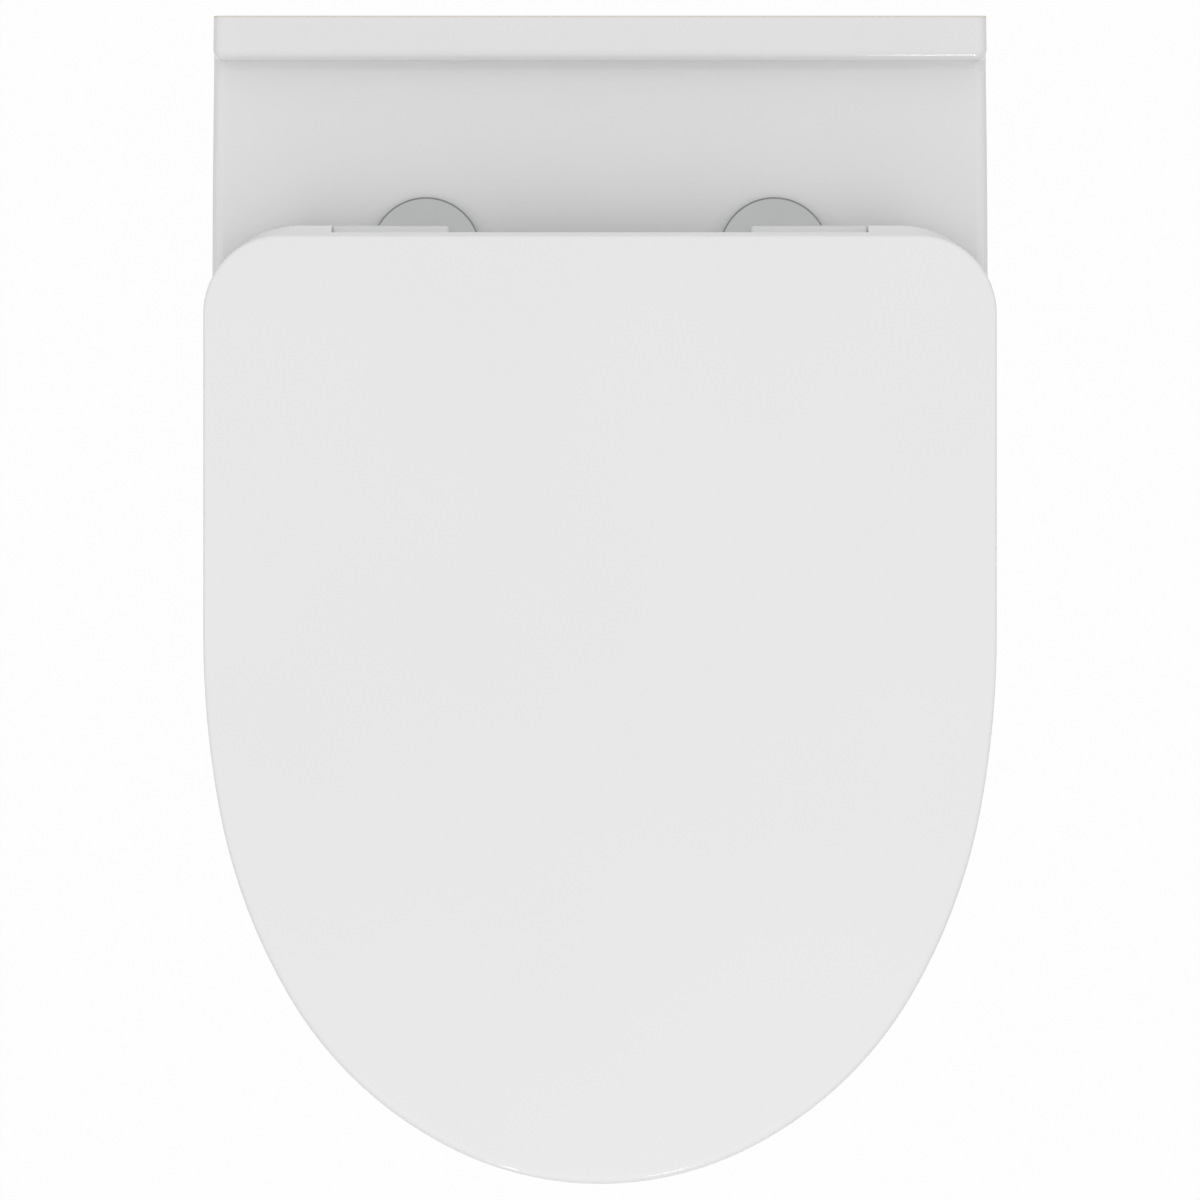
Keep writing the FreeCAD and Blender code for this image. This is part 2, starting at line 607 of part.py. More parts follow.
def make_sleeve(x):
    under = RIM_Z - DECK_T
    r = HINGE_BOLT_R + 0.2
    return turned([(r, NUT_Z1), (HINGE_HOLE_R + 0.6, NUT_Z1), (HINGE_HOLE_R + 2.2, NUT_Z1 + 6),
                   (HINGE_HOLE_R + 1.4, NUT_Z1 + 10), (HINGE_HOLE_R - 0.1, under - 0.5),
                   (HINGE_HOLE_R - 0.1, RIM_Z - 0.1), (r, RIM_Z - 0.1)], x, AXIS_Y)


def make_cone_nut(x):
    r = HINGE_BOLT_R + RUN
    return turned([(r, NUT_Z0), (HINGE_HOLE_R - 1.0, NUT_Z0), (HINGE_HOLE_R - 1.0, NUT_Z0 + 6),
                   (HINGE_HOLE_R + 0.6, NUT_Z1), (r, NUT_Z1)], x, AXIS_Y)


def make_bracket(side, inside_x):
    def span(a, b):
        return sorted((side * a, side * b))
    x0, x1 = span(STUD_X - 20, inside_x - BUSH_FLANGE_T)
    plate = box(x0, x1, -BRACKET_T, 0, -BRACKET_HALF_H, BRACKET_HALF_H)
    x2, x3 = span(STUD_X + 18, inside_x - BUSH_FLANGE_T)
    arm = box(x2, x3, -BRACKET_REACH, -BRACKET_T, -BRACKET_HALF_H + 3, BRACKET_HALF_H - 3)
    body = plate.fuse(arm).removeSplitter()
    body = rounded(body, 3.0, lambda e: e.BoundBox.ZLength > 20 and e.BoundBox.YMax < -1
                   and e.BoundBox.YMin > -BRACKET_REACH - 1 and e.BoundBox.XLength < 0.01
                   and abs(e.BoundBox.XMin) > STUD_X + 30)
    body = body.cut(barrel(STUD_HOLE_R, side * STUD_X, 0, -BRACKET_T - 1, 1))
    x4, x5 = span(inside_x - 45, inside_x)
    return body.cut(rod(SIDE_SCREW_R + RUN, x4, x5, SIDE_SCREW_Y, 0))


def make_inlet_seal():
    """The rubber sleeve in the flush inlet: plain inside, with three lips around it."""
    lip = INLET_R - RUN
    body = FLUSH_PIPE_R + 2.6
    y = -1.0
    line = [(FLUSH_PIPE_R, y), (lip, y), (lip, y - 3.0)]
    for i in range(1, 4):
        step = y - i * (SEAL_L - 4) / 3
        line += [(body, step + 6.0), (body, step + 2.5), (lip, step)]
    line += [(body, y - SEAL_L), (FLUSH_PIPE_R, y - SEAL_L)]
    pts = [V(r, py, INLET_Z) for r, py in line]
    return Part.Face(Part.makePolygon(pts + pts[:1])).revolve(V(0, 0, INLET_Z), V(0, 1, 0), 360)


def make_washer(side):
    y = -BRACKET_T - WASHER_T
    washer = barrel(12.0, side * STUD_X, 0, y, -BRACKET_T)
    return washer.cut(barrel(STUD_HOLE_R, side * STUD_X, 0, y - 1, 0))


def make_nut(side):
    y1 = -BRACKET_T - WASHER_T
    nut = hexagon(NUT_FLATS, side * STUD_X, 0, y1 - 10, y1)
    foot = V(side * STUD_X, y1 - 10.5, 0)
    cone = Part.makeCone(NUT_CORNER_R - 1.6, NUT_CORNER_R + 8.4, 10.0, foot, V(0, 1, 0))
    nut = nut.common(cone.fuse(barrel(20, side * STUD_X, 0, y1 - 3, y1)))
    return nut.cut(barrel(STUD_R, side * STUD_X, 0, y1 - 11, y1 + 1))


def make_bush(side, inside_x):
    """A plastic bush in the pan's side hole, with a flange against the inside."""
    x = side * (inside_x - BUSH_FLANGE_T)
    flange = rod(SIDE_HOLE_R + 3, *sorted((x, side * (inside_x - RUN))), SIDE_SCREW_Y, 0)
    tube = rod(SIDE_HOLE_R - 0.1, *sorted((x, side * (inside_x + 4))), SIDE_SCREW_Y, 0)
    bore = rod(SIDE_SCREW_R + 0.2, *sorted((x - side, side * (inside_x + 5))), SIDE_SCREW_Y, 0)
    return flange.fuse(tube).cut(bore).removeSplitter()


def make_side_screw(side, inside_x):
    x = side * (inside_x + 4)
    tip = side * max(inside_x - 42, STUD_X + NUT_CORNER_R + 6)
    shank = rod(SIDE_SCREW_R, *sorted((tip, x)), SIDE_SCREW_Y, 0)
    head = rod(SIDE_HOLE_R - 0.6, *sorted((x, x + side * 4.5)), SIDE_SCREW_Y, 0)
    pts = [V(x + side * 2, SIDE_SCREW_Y + 3.2 * math.cos(math.radians(60 * i)),
             3.2 * math.sin(math.radians(60 * i))) for i in range(7)]
    socket = Part.Face(Part.makePolygon(pts)).extrude(V(side * 5, 0, 0))
    return shank.fuse(head).cut(socket).removeSplitter()


def make_side_cap(side, outside_x):
    x = side * (outside_x + RUN)
    plug = rod(SIDE_HOLE_R - 0.1, *sorted((x - side * 1.6, x)), SIDE_SCREW_Y, 0)
    cap = rod(CAP_R, *sorted((x, x + side * CAP_T)), SIDE_SCREW_Y, 0)
    cap = rounded(cap, 0.8, lambda e: abs(e.BoundBox.XMin - (x + side * CAP_T)) < 0.01
                  and e.BoundBox.XLength < 0.01)
    return plug.fuse(cap)


def main():
    pan = make_pan()
    inside_x, outside_x = side_wall(pan)
    save("pan", pan)
    save("inlet_seal", make_inlet_seal())
    save("seat_ring", make_seat_ring())
    save("lid", make_lid())
    for side, name in ((-1, "left"), (1, "right")):
        x = side * HINGE_X
        save("hinge_block_" + name, make_block(side))
        save("hinge_disc_" + name, make_disc(x))
        save("hinge_base_" + name, make_base(x))
        save("hinge_bolt_" + name, make_hinge_bolt(x))
        save("expansion_sleeve_" + name, make_sleeve(x))
        save("cone_nut_" + name, make_cone_nut(x))
        screw_z = RIM_Z + POST_TOP / 2 + BASE_T
        save("hinge_set_screw_" + name,
             barrel(SET_SCREW_R - RUN, x, screw_z, AXIS_Y + POST_R, AXIS_Y + STEM_R - 0.5))
        save("wall_bracket_" + name, make_bracket(side, inside_x))
        save("wall_washer_" + name, make_washer(side))
        save("wall_nut_" + name, make_nut(side))
        save("side_bush_" + name, make_bush(side, inside_x))
        save("side_screw_" + name, make_side_screw(side, inside_x))
        save("side_cap_" + name, make_side_cap(side, outside_x))
    save("seat_damper", make_damper(-1))
    save("lid_damper", make_damper(1))
    save("seat_damper_shaft", make_rotor(-1, KEY_L))
    save("lid_damper_shaft", make_rotor(1, EAR_W - 0.8))
    save("seat_pivot_pin", make_pin(1, KEY_L))
    save("lid_pivot_pin", make_pin(-1, EAR_W))
    save("seat_buffers", Part.makeCompound([
        post(SEAT_BUFFER_R, x, y, RIM_Z + REST_GAP, RING_Z0) for x, y in SEAT_BUFFERS]))
    save("lid_buffers", Part.makeCompound([
        post(LID_BUFFER_R, x, y, RING_Z1 + REST_GAP, LID_Z0 + 3).fuse(
            post(LID_BUFFER_R - 1.6, x, y, LID_Z0 + 3, LID_Z0 + 5.5)) for x, y in LID_BUFFERS]))


main()
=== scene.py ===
# %% [markdown]
# # A wall-hung toilet, seen from above
# The object is a white pan that hangs on a wall, with a seat ring and a D-shaped lid. Its solids come
# from the workshop model as a fixed frame. This lesson dresses that frame: it gives each piece its
# finish, models the small hardware again by hand with the detail that it really has, and sets a plain
# studio around it all.

# %% Load the frame
import json
import math

import bmesh
import bpy
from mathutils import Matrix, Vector


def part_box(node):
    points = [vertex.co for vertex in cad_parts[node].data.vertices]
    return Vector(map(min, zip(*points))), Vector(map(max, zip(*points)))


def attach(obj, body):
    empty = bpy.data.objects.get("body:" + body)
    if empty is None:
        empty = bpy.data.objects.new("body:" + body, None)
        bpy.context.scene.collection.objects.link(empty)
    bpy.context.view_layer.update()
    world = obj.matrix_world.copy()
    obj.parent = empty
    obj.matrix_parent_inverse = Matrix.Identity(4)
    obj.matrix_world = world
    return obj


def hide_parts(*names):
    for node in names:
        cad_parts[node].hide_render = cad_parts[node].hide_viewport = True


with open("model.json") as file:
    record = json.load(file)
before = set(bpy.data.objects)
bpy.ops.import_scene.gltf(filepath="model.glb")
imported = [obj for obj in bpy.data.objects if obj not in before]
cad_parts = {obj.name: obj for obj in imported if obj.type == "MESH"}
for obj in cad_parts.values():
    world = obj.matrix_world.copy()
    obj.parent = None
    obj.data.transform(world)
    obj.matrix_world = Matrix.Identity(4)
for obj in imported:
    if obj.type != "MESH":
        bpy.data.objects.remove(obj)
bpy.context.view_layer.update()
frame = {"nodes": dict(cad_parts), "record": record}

MM = 0.001
NODES = frame["nodes"]


def middle_of(node):
    """The middle and the size of a node's box."""
    low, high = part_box(node)
    return (low + high) / 2, high - low


# %% [markdown]
# ## Shader maths as plain sums
# A material is a graph of small nodes, and maths on its sockets reads best as sums. One class wraps a
# socket and turns +, - and * into Math nodes, also where a plain number stands on the left.

# %% Sums of sockets
class Value:
    """A node's output that can be added, taken away and multiplied."""

    def __init__(self, finish, socket):
        self.finish = finish
        self.socket = socket

    def sum_with(self, operation, a, b):
        return self.finish.node("ShaderNodeMath", {"operation": operation}, {0: a, 1: b})

    def __add__(self, other):
        return self.sum_with("ADD", self, other)

    def __radd__(self, other):
        return self.sum_with("ADD", other, self)

    def __sub__(self, other):
        return self.sum_with("SUBTRACT", self, other)

    def __rsub__(self, other):
        return self.sum_with("SUBTRACT", other, self)

    def __mul__(self, other):
        return self.sum_with("MULTIPLY", self, other)

    def __rmul__(self, other):
        return self.sum_with("MULTIPLY", other, self)


# %% [markdown]
# ## One finish is one material
# Every finish here is one Principled shader with a few procedural nodes in front of it. A second class
# holds that material. It adds any node from its type, its settings and its inputs, and it has short names
# for the nodes that most finishes use: noise, a colour ramp, a smooth step and a bump.

# %% Finishes
class Finish:
    """A material with one Principled shader."""

    def __init__(self, name):
        self.material = bpy.data.materials.new(name)
        self.material.use_nodes = True
        self.tree = self.material.node_tree
        self.tree.nodes.clear()
        self.shader = self.tree.nodes.new("ShaderNodeBsdfPrincipled")
        out = self.tree.nodes.new("ShaderNodeOutputMaterial")
        self.tree.links.new(self.shader.outputs[0], out.inputs[0])
        self.place = self.node("ShaderNodeTexCoord", {}, {}, "Object")

    def put(self, socket, value):
        if isinstance(value, Value):
            self.tree.links.new(value.socket, socket)
        else:
            socket.default_value = value

    def node(self, kind, settings, inputs, output=0):
        """Any node, from its type, its settings, which come first, and what goes into its sockets."""
        made = self.tree.nodes.new(kind)
        for key, value in settings.items():
            if key == "stops":
                self.set_stops(made.color_ramp, value)
            else:
                setattr(made, key, value)
        for key, value in inputs.items():
            self.put(made.inputs[key], value)
        return Value(self, made.outputs[output])

    def set_stops(self, ramp, stops):
        while len(ramp.elements) < len(stops):
            ramp.elements.new(0.5)
        for element, (at, colour) in zip(ramp.elements, stops):
            element.position = at
            element.color = (*colour, 1.0)

    def noise(self, scale, detail=2.0, roughness=0.5):
        return self.node("ShaderNodeTexNoise", {},
                         {"Vector": self.place, "Scale": scale, "Detail": detail, "Roughness": roughness})

    def ramp(self, factor, stops):
        return self.node("ShaderNodeValToRGB", {"stops": stops}, {0: factor})

    def span(self, factor, low, high):
        """A value that runs from low to high as factor runs from 0 to 1."""
        return self.node("ShaderNodeMapRange", {}, {"Value": factor, "To Min": low, "To Max": high})

    def mix(self, factor, a, b):
        return self.node("ShaderNodeMix", {"data_type": "RGBA"}, {0: factor, 6: a, 7: b}, 2)

    def bump(self, height, depth):
        """Height in 0 to 1 raised by depth metres."""
        return self.node("ShaderNodeBump", {}, {"Height": height, "Distance": depth, "Strength": 1.0},
                         "Normal")

    def axis(self, index):
        return self.node("ShaderNodeSeparateXYZ", {}, {"Vector": self.place}, index)

    def step(self, value, start, end):
        """0 below start, 1 above end, and smooth between them."""
        return self.node("ShaderNodeMapRange", {"interpolation_type": "SMOOTHSTEP"},
                         {"Value": value, "From Min": start, "From Max": end})

    def wear(self, **sockets):
        """Feed the shader's sockets; an underline in a name stands for a space."""
        for name, value in sockets.items():
            self.put(self.shader.inputs[name.replace("_", " ")], value)


# %% [markdown]
# ## Glazed china
# The pan is fired clay under a thick white glaze. The glaze is very smooth, but it is not flat: it
# follows the slow waves of the casting and has a fine pull like orange peel. Where the pan meets the wall
# the glaze is wiped off before firing, and bare cream-grey clay shows. The mask for that strip reads the
# distance from the wall.

# %% China finish
BARE_STRIP = 0.4 * MM
BARE_FADE = 0.8 * MM
GLAZE_RELIEF = 0.22 * MM


def grey(value):
    return (value, value, value)


def make_china():
    f = Finish("glazed_china")
    bare = f.step(f.axis(1), -BARE_STRIP - BARE_FADE, -BARE_STRIP)
    clouds = f.noise(9.0, 3.0, 0.55)
    grain = f.noise(900.0, 3.0, 0.7)
    glaze = f.ramp(clouds, [(0.3, grey(0.740)), (0.7, grey(0.756))])
    clay = f.ramp(grain, [(0.3, (0.60, 0.57, 0.50)), (0.7, (0.72, 0.69, 0.62))])
    waves = f.noise(14.0, 1.0, 0.4)
    peel = f.noise(330.0, 1.5, 0.5)
    height = waves * 0.9 + peel * 0.06 + bare * grain * 0.5
    f.wear(Base_Color=f.mix(bare, glaze, clay),
           Roughness=f.span(clouds, 0.055, 0.085) + bare * 0.6,
           Normal=f.bump(height, GLAZE_RELIEF),
           IOR=1.5)
    return f


# %% [markdown]
# ## Seat plastic
# The lid and the ring are pressed from a hard white resin and come out of a polished mould. They are a
# little less glossy than the glaze, with a very slow sheen change where the resin flowed. The two hinge
# blocks get a greyer copy of this finish, which is painted shade: it stands for the shade that the lid's
# back casts on them. So the recipe takes the two greys that its colour runs between.

# %% Seat plastic finish
RESIN_RELIEF = 0.1 * MM


def make_seat_plastic(name, dark, light):
    f = Finish(name)
    flow = f.noise(6.0, 2.0, 0.5)
    fine = f.noise(700.0, 2.0, 0.6)
    f.wear(Base_Color=f.ramp(flow, [(0.3, grey(dark)), (0.7, grey(light))]),
           Roughness=f.span(flow, 0.12, 0.17),
           Normal=f.bump(flow * 0.6 + fine * 0.02, RESIN_RELIEF),
           IOR=1.5, Specular_IOR_Level=0.4)
    return f


# %% [markdown]
# ## Satin chrome
# The two round covers at the hinges are chromed and then brushed on a lathe, so their faces are grey and
# even, with very fine rings. Their outer edge is turned over towards the deck and would reflect the dark
# deck there; that dark reflection is painted into the colour. The shader finds out how far a point lies
# from the nearer hinge post, draws the rings from that distance and paints the outer millimetre dark grey
# as a painted reflection. That needs no second material and no picture.

# %% Chrome finish
DISC_MIDDLE, DISC_SIZE = middle_of("hinge_disc_right")
DISC_R = DISC_SIZE.x / 2
PAINTED_EDGE_BAND = 0.9 * MM
PAINTED_EDGE_FADE = 0.2 * MM
# The grey of the painted reflection on the covers' outer band, and that band's width and fade
PAINTED_EDGE_SHADE = (0.24, 0.244, 0.242, 1.0)
BRUSH_RELIEF = 0.003 * MM


def make_satin_chrome():
    f = Finish("satin_chrome")
    across = f.node("ShaderNodeMath", {"operation": "ABSOLUTE"}, {0: f.axis(0)}) - DISC_MIDDLE.x
    along = f.axis(1) - DISC_MIDDLE.y
    radius = f.node("ShaderNodeMath", {"operation": "SQRT"}, {0: across * across + along * along})
    # Painted reflection: the outer band of each cover is painted dark grey in its base colour
    edge = f.step(radius, DISC_R - PAINTED_EDGE_BAND, DISC_R - PAINTED_EDGE_BAND + PAINTED_EDGE_FADE)
    rings = f.node("ShaderNodeTexNoise", {"noise_dimensions": "1D"},
                   {"W": radius, "Scale": 2600.0, "Detail": 2.0, "Roughness": 0.6})
    cloud = f.noise(70.0, 2.0, 0.5)
    face = f.ramp(cloud, [(0.3, (0.445, 0.455, 0.449)), (0.7, (0.455, 0.466, 0.46))])
    f.wear(Base_Color=f.mix(edge, face, PAINTED_EDGE_SHADE),
           Roughness=f.span(cloud, 0.14, 0.18) + rings * 0.05,
           Normal=f.bump(rings, BRUSH_RELIEF),
           Metallic=1.0)
    return f


print("hinge covers %.1f mm across, %.1f mm from the middle" % (2 * DISC_R / MM, DISC_MIDDLE.x / MM))

# %% [markdown]
# ## Plated steel and brass
# The screws, washers, nuts and hinge pins are zinc plated steel, and the cone nuts inside the pan are
# brass. Both have the cloudy shine of a part from a plating drum, with fine rubbing marks. One recipe
# serves both: only the two colours and the roughness differ, so it is a function with those as its
# inputs.

# %% Plated steel and brass finish
RUBBED_RELIEF = 0.02 * MM


def make_metal(name, dark, light, rough):
    f = Finish(name)
    cloud = f.noise(120.0, 4.0, 0.6)
    scratch = f.noise(1500.0, 2.0, 0.5)
    f.wear(Base_Color=f.ramp(cloud, [(0.3, dark), (0.7, light)]),
           Roughness=f.span(cloud, rough, rough + 0.12) + scratch * 0.05,
           Normal=f.bump(scratch, RUBBED_RELIEF),
           Metallic=1.0)
    return f


# %% [markdown]
# ## Plain plastics and rubbers
# The brackets, sleeves, caps, buffers and seals are moulded parts with a dull, fine grain, which a spark
# eroded mould leaves on them. The grain could be modelled, but it is finer than a tenth of a millimetre,
# so a bump does it. Again one recipe takes the colours, the roughness, and the fineness and depth of the
# grain.

# %% Plain plastic and rubber finish
def make_grained(name, dark, light, rough, scale, depth):
    f = Finish(name)
    cloud = f.noise(40.0, 3.0, 0.6)
    grain = f.noise(scale, 3.0, 0.65)
    f.wear(Base_Color=f.ramp(cloud, [(0.3, dark), (0.7, light)]),
           Roughness=f.span(cloud, rough, rough + 0.1),
           Normal=f.bump(grain, depth),
           IOR=1.48)
    return f


# %% [markdown]
# ## A finish for every solid
# The workshop model says which material each solid is made of, in a slot with the material's name. The
# finishes are kept under the same names, so one loop dresses everything, and no piece is left in plain
# grey. Only the hinge blocks leave their slot's finish, for a greyer one of the same kind, whose grey is
# painted shade from the lid above them.

# %% Give every solid its finish
FINISHES = {
    "glazed_china": make_china(),
    "seat_plastic": make_seat_plastic("seat_plastic", 0.787, 0.799),
    # Painted shade: the hinge blocks' greyer resin stands for the shade under the lid's back
    "hinge_plastic_painted_shade": make_seat_plastic("hinge_plastic_painted_shade", 0.684, 0.696),
    "satin_chrome": make_satin_chrome(),
    "zinc_steel": make_metal("zinc_steel", (0.50, 0.51, 0.53), (0.62, 0.63, 0.65), rough=0.26),
    "brass": make_metal("brass", (0.55, 0.38, 0.14), (0.72, 0.53, 0.22), rough=0.24),
    "black_plastic": make_grained("black_plastic", (0.018, 0.018, 0.019), (0.03, 0.03, 0.032),
                                  rough=0.45, scale=1400.0, depth=0.04 * MM),
    "white_plastic": make_grained("white_plastic", (0.74, 0.74, 0.73), (0.77, 0.77, 0.76),
                                  rough=0.3, scale=1200.0, depth=0.02 * MM),
    "grey_rubber": make_grained("grey_rubber", (0.30, 0.31, 0.32), (0.36, 0.37, 0.38),
                                rough=0.6, scale=1000.0, depth=0.06 * MM),
    "black_rubber": make_grained("black_rubber", grey(0.015), grey(0.03),
                                 rough=0.65, scale=900.0, depth=0.08 * MM),
}
SLOT_OF = {part["node"]: part["material_slot"] for part in frame["record"]["subparts"]}

for name, solid in NODES.items():
    # The hinge blocks take the greyer finish, which is painted shade
    finish = "hinge_plastic_painted_shade" if name.startswith("hinge_block") else SLOT_OF[name]
    solid.data.materials.clear()
    solid.data.materials.append(FINISHES[finish].material)
print("finishes", len(FINISHES))

# %% [markdown]
# ## Tools for modelling by hand
# Each new piece starts as a primitive at its size and place. These helpers do what a hand does at the
# screen: they start a piece with nothing else selected, pick faces, edges or points by a rule, leave edit
# mode, and make one object the active one. Places nearer to each other than SAME count as the same.

# %% Modelling helpers
SAME = 1e-6


def start(add, **options):
    """Add a primitive with nothing else selected, and open it for editing."""
    bpy.ops.object.select_all(action="DESELECT")
    add(**options)
    bpy.ops.object.transform_apply(location=True, rotation=True, scale=True)
    bpy.ops.object.mode_set(mode="EDIT")
    return bpy.context.object


def pick(kind, rule):
    """Select the faces, edges or points that the rule accepts; it gets each one and its middle."""
    bpy.ops.mesh.select_mode(type=kind)
    bpy.ops.mesh.select_all(action="DESELECT")
    mesh = bpy.context.object.data
    work = bmesh.from_edit_mesh(mesh)
    groups = {"FACE": work.faces, "EDGE": work.edges, "VERT": work.verts}
    count = 0
    for item in groups[kind]:
        corners = [item] if kind == "VERT" else item.verts
        middle = sum((v.co for v in corners), Vector()) / len(corners)
        if rule(item, middle):
            item.select_set(True)
            count += 1
    work.select_flush_mode()
    bmesh.update_edit_mesh(mesh)
    return count


def close_edit():
    bpy.ops.object.mode_set(mode="OBJECT")
    return bpy.context.object


def make_active(obj):
    bpy.ops.object.select_all(action="DESELECT")
    obj.select_set(True)
    bpy.context.view_layer.objects.active = obj


# %% [markdown]
# ## Settling a finished piece
# A finished piece gets smooth shading up to a crease angle, so that its bevels look round and its corners
# stay sharp. Then it is put on the body that carries it, and it stands for the plain solid that it was
# made from. The print says how far it reaches beyond that solid, which should be next to nothing.

# %% Settle a piece
def settle(obj, name, slot, body, node, crease=32.0):
    """Finish a piece: its shading, its material, its body and the node it stands for."""
    obj.name = name
    make_active(obj)
    bpy.ops.object.shade_smooth_by_angle(angle=math.radians(crease))
    obj.data.materials.clear()
    obj.data.materials.append(FINISHES[slot].material)
    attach(obj, body)
    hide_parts(node)
    low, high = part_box(node)
    corners = [v.co for v in obj.data.vertices]
    over = max(max(max(c[i] - high[i], low[i] - c[i]) for i in range(3)) for c in corners)
    print(name, "faces", len(obj.data.polygons), "beyond its node %.3f mm" % (over / MM))


# %% [markdown]
# ## Hinge covers
# Each cover is a thin chromed cup that hides the screw: flat on top, with a hole for the hinge's stem, a
# hollow underneath for the base plate, and an edge that is turned over. It could be spun from a profile.
# Here a cylinder is inset and pushed in from below, because that shows how a plate becomes a cup, and the
# turned edge is one bevel. The top rim's edges are those whose middles lie within RIM_BAND of the rim.

# %% Hinge covers
STEM_HOLE_R = 11.3 * MM
BASE_HOLE_R = 22.2 * MM
CUP_TOP_T = 1.6 * MM
COVER_ROUND = 0.9 * PAINTED_EDGE_BAND
RIM_BAND = 0.1 * MM


def make_cover(side):
    node = "hinge_disc_" + side
    centre, size = middle_of(node)
    top = centre.z + size.z / 2
    bottom = centre.z - size.z / 2
    r = size.x / 2
    start(bpy.ops.mesh.primitive_cylinder_add, vertices=128, radius=r, depth=size.z, location=centre)
    pick("FACE", lambda face, m: m.z > top - SAME)
    bpy.ops.mesh.inset(thickness=r - STEM_HOLE_R)
    bpy.ops.mesh.delete(type="FACE")
    pick("FACE", lambda face, m: m.z < bottom + SAME)
    bpy.ops.mesh.inset(thickness=r - BASE_HOLE_R)
    bpy.ops.mesh.extrude_region_move(TRANSFORM_OT_translate={"value": (0, 0, size.z - CUP_TOP_T)})
    bpy.ops.mesh.inset(thickness=BASE_HOLE_R - STEM_HOLE_R)
    bpy.ops.mesh.delete(type="FACE")
    pick("EDGE", lambda edge, m: edge.is_boundary)
    bpy.ops.mesh.bridge_edge_loops()
    pick("EDGE", lambda edge, m: m.z > top - SAME and (m - centre).xy.length > r - RIM_BAND)
    bpy.ops.mesh.bevel(offset=COVER_ROUND, segments=4, profile=0.5)
    bpy.ops.mesh.select_all(action="SELECT")
    bpy.ops.mesh.normals_make_consistent(inside=False)
    settle(close_edit(), "hinge_cover_" + side, "satin_chrome", "pan_body", node)


for side in ("left", "right"):
    make_cover(side)

# %% [markdown]
# ## Rubber buffers
# Small rubber feet keep the seat off the china and the lid off the seat. Each is a moulded pad with a
# soft edge and a shallow dish that stops it from sucking onto the glaze. One pad is modelled from a
# cylinder, by an inset that is pushed in and a bevel, and then copied. The copies are joined, because the
# workshop model has them as one group.

# %% Rubber buffers
SEAT_PAD_R = 9.0 * MM
LID_PAD_R = 6.0 * MM
FRONT_PAD_X = 105.0 * MM
DISH_INSET = 0.45
DISH_DEPTH = 0.7 * MM
DISH_TAPER = 0.85
PAD_ROUND = 0.8 * MM
PAD_CREASE = 50.0


def copy_of(obj, move):
    """A copy with its own mesh, moved by a distance."""
    make_active(obj)
    bpy.ops.object.duplicate(linked=False)
    twin = bpy.context.object
    bpy.ops.transform.translate(value=move)
    bpy.ops.object.transform_apply(location=True, rotation=True, scale=True)
    return twin


def join(first, *others):
    make_active(first)
    for other in others:
        other.select_set(True)
    bpy.ops.object.join()
    return first


def make_pad(x, y, z0, z1, r):
    """One pad between two heights; its lower end is free and gets the dish."""
    start(bpy.ops.mesh.primitive_cylinder_add, vertices=48, radius=r, depth=z1 - z0,
          location=(x, y, (z0 + z1) / 2))
    pick("FACE", lambda face, m: abs(m.z - z0) < SAME)
    bpy.ops.mesh.inset(thickness=r * DISH_INSET)
    bpy.ops.mesh.extrude_region_move(TRANSFORM_OT_translate={"value": (0, 0, DISH_DEPTH)})
    bpy.ops.transform.resize(value=(DISH_TAPER, DISH_TAPER, 1.0), center_override=(x, y, z0))
    pick("EDGE", lambda edge, m: abs(m.z - z0) < SAME)
    bpy.ops.mesh.bevel(offset=PAD_ROUND, segments=3, profile=0.5)
    return close_edit()


low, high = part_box("seat_buffers")
r = SEAT_PAD_R
back_left = make_pad(low.x + r, high.y - r, low.z, high.z, r)
back_right = copy_of(back_left, (high.x - low.x - 2 * r, 0.0, 0.0))
front_left = copy_of(back_left, (-FRONT_PAD_X - low.x - r, low.y - high.y + 2 * r, 0.0))
front_right = copy_of(front_left, (2 * FRONT_PAD_X, 0.0, 0.0))
settle(join(back_left, back_right, front_left, front_right), "seat_pads", SLOT_OF["seat_buffers"],
       "seat_body", "seat_buffers", PAD_CREASE)

low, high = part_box("lid_buffers")
r = LID_PAD_R
left_pad = make_pad(low.x + r, (low.y + high.y) / 2, low.z, high.z, r)
right_pad = copy_of(left_pad, (high.x - low.x - 2 * r, 0.0, 0.0))
settle(join(left_pad, right_pad), "lid_pads", SLOT_OF["lid_buffers"], "lid_body", "lid_buffers", PAD_CREASE)

# %% [markdown]
# ## Wall brackets
# A black moulded bracket slides over each wall stud inside the pan, and a screw through the pan's side
# runs into its arm. Such a moulding is cored out from the wall side, so that its walls are even, with a
# rib between the pockets. It is one block that is cut by a plane, an arm that is pulled out of it, and
# pockets that are inset and pushed in. The arm's top and bottom faces, which lie farther out than
# ARM_FACE_Z, get shallow pockets too. The holes are drilled with round tools, and one bevel breaks all
# the edges.

# %% Wall brackets
PLATE_T = 24.0 * MM
STUD_X = middle_of("wall_nut_right")[0].x
ARM_START = STUD_X + 18.0 * MM
ARM_TAPER = 13.0 / 16.0
ARM_FACE_Z = 10.0 * MM
POCKET_WALL = 3.0 * MM
POCKET_DEPTH = 15.0 * MM
SIDE_POCKET_DEPTH = 4.0 * MM
STUD_HOLE_R = 6.5 * MM
SIDE_HOLE_R = 4.05 * MM
SIDE_HOLE_LENGTH = 90.0 * MM
SIDE_SCREW_Y = middle_of("side_screw_right")[0].y
BRACKET_BEVEL = 0.6 * MM
ALONG_X = (0, math.pi / 2, 0)
ALONG_Y = (math.pi / 2, 0, 0)


def apply_modifier(obj, kind, **settings):
    """Add a modifier with its settings and apply it."""
    make_active(obj)
    modifier = obj.modifiers.new(kind.lower(), kind)
    for key, value in settings.items():
        setattr(modifier, key, value)
    bpy.ops.object.modifier_apply(modifier=modifier.name)


